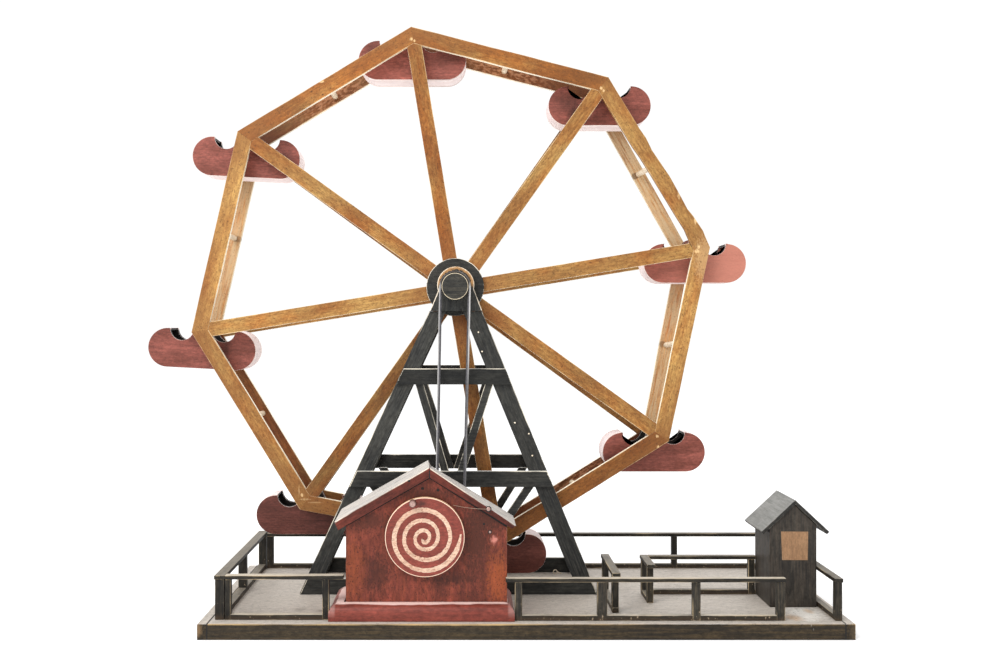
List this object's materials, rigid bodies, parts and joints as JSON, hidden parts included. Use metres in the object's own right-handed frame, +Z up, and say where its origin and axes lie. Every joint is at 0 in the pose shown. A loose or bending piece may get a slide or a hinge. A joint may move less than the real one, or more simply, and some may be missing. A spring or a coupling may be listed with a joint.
{
  "type": "wooden toy ferris wheel",
  "caption": "Hand-made wooden toy ferris wheel on a fenced deck, with hanging gondolas, a crank-driven belt behind a small engine house, and a ticket booth.",
  "frame": {"origin": "the middle of the underside of the deck", "axes": "+X to the right along the deck, +Y to the back along the axle, +Z up"},
  "size_m": [0.8704, 0.34, 0.7525],
  "materials": {
    "deck_board": "worn grey-white paint",
    "wheel_lath": "satin ochre stain",
    "tower_black": "worn black paint",
    "fence_black": "worn black paint",
    "house_red": "worn red paint",
    "gondola_red": "satin red paint",
    "booth_grey": "weathered dark paint",
    "pale_dowel": "bare wood",
    "belt": "matt"
  },
  "bodies": {
    "stand": {"deck_board": "deck_board", "left_end_batten": "deck_board", "right_end_batten": "deck_board", "drive_belt": "belt", "booth_body": "booth_grey", "booth_roof_left": "booth_grey", "booth_roof_right": "booth_grey", "front_tower_left_leg": "tower_black", "front_tower_right_leg": "tower_black", "front_tower_head": "tower_black", "front_tower_upper_crossbar": "tower_black", "front_tower_lower_crossbar": "tower_black", "front_tower_foot_crossbar": "tower_black", "front_tower_upper_brace": "tower_black", "front_tower_lower_brace": "tower_black", "back_tower_left_leg": "tower_black", "back_tower_right_leg": "tower_black", "back_tower_head": "tower_black", "back_tower_upper_crossbar": "tower_black", "back_tower_lower_crossbar": "tower_black", "back_tower_foot_crossbar": "tower_black", "back_tower_upper_brace": "tower_black", "back_tower_lower_brace": "tower_black", "house_front_wall": "house_red", "house_back_wall": "house_red", "house_left_wall": "house_red", "house_right_wall": "house_red", "house_roof_left": "house_red", "house_roof_right": "house_red", "house_plinth": "house_red", "front_left_fence": "fence_black", "front_right_fence": "fence_black", "left_fence": "fence_black", "right_fence": "fence_black", "back_fence": "fence_black", "queue_near_rail": "fence_black", "queue_far_rail": "fence_black", "queue_back_rail": "fence_black"},
    "wheel": {"front_wheel_frame": "wheel_lath", "back_wheel_frame": "wheel_lath", "front_hub_disc": "tower_black", "back_hub_disc": "tower_black", "axle": "wheel_lath", "axle_pulley": "tower_black"},
    "crank": {"crank_disc": "house_red", "crank_handle": "pale_dowel", "crank_shaft": "pale_dowel", "drive_pulley": "tower_black"},
    "gondola_1": {"gondola_1": "gondola_red"},
    "gondola_2": {"gondola_2": "gondola_red"},
    "gondola_3": {"gondola_3": "gondola_red"},
    "gondola_4": {"gondola_4": "gondola_red"},
    "gondola_5": {"gondola_5": "gondola_red"},
    "gondola_6": {"gondola_6": "gondola_red"},
    "gondola_7": {"gondola_7": "gondola_red"},
    "gondola_8": {"gondola_8": "gondola_red"}
  },
  "joints": [
    {"name": "wheel_spin", "type": "hinge", "parent": "stand", "child": "wheel", "pos_m": [-0.0836, 0.053, 0.4132], "axis": [0, -1, 0], "continuous": true},
    {"name": "crank_spin", "type": "hinge", "parent": "stand", "child": "crank", "pos_m": [-0.1179, 0.053, 0.116], "axis": [0, -1, 0], "continuous": true},
    {"name": "gondola_1_swing", "type": "hinge", "parent": "wheel", "child": "gondola_1", "pos_m": [0.22937, 0.053, 0.47121], "axis": [0, -1, 0], "continuous": true},
    {"name": "gondola_2_swing", "type": "hinge", "parent": "wheel", "child": "gondola_2", "pos_m": [0.10345, 0.053, 0.67934], "axis": [0, -1, 0], "continuous": true},
    {"name": "gondola_3_swing", "type": "hinge", "parent": "wheel", "child": "gondola_3", "pos_m": [-0.14056, 0.053, 0.73957], "axis": [0, -1, 0], "continuous": true},
    {"name": "gondola_4_swing", "type": "hinge", "parent": "wheel", "child": "gondola_4", "pos_m": [-0.35857, 0.053, 0.61079], "axis": [0, -1, 0], "continuous": true},
    {"name": "gondola_5_swing", "type": "hinge", "parent": "wheel", "child": "gondola_5", "pos_m": [-0.41716, 0.053, 0.35798], "axis": [0, -1, 0], "continuous": true},
    {"name": "gondola_6_swing", "type": "hinge", "parent": "wheel", "child": "gondola_6", "pos_m": [-0.27546, 0.053, 0.13919], "axis": [0, -1, 0], "continuous": true},
    {"name": "gondola_7_swing", "type": "hinge", "parent": "wheel", "child": "gondola_7", "pos_m": [-0.03437, 0.053, 0.0877], "axis": [0, -1, 0], "continuous": true},
    {"name": "gondola_8_swing", "type": "hinge", "parent": "wheel", "child": "gondola_8", "pos_m": [0.17508, 0.053, 0.22179], "axis": [0, -1, 0], "continuous": true}
  ],
  "couplings": [
    {"joint": "crank_spin", "follows": "wheel_spin", "ratio": 1},
    {"joint": "gondola_1_swing", "follows": "wheel_spin", "ratio": -1},
    {"joint": "gondola_2_swing", "follows": "wheel_spin", "ratio": -1},
    {"joint": "gondola_3_swing", "follows": "wheel_spin", "ratio": -1},
    {"joint": "gondola_4_swing", "follows": "wheel_spin", "ratio": -1},
    {"joint": "gondola_5_swing", "follows": "wheel_spin", "ratio": -1},
    {"joint": "gondola_6_swing", "follows": "wheel_spin", "ratio": -1},
    {"joint": "gondola_7_swing", "follows": "wheel_spin", "ratio": -1},
    {"joint": "gondola_8_swing", "follows": "wheel_spin", "ratio": -1}
  ]
}
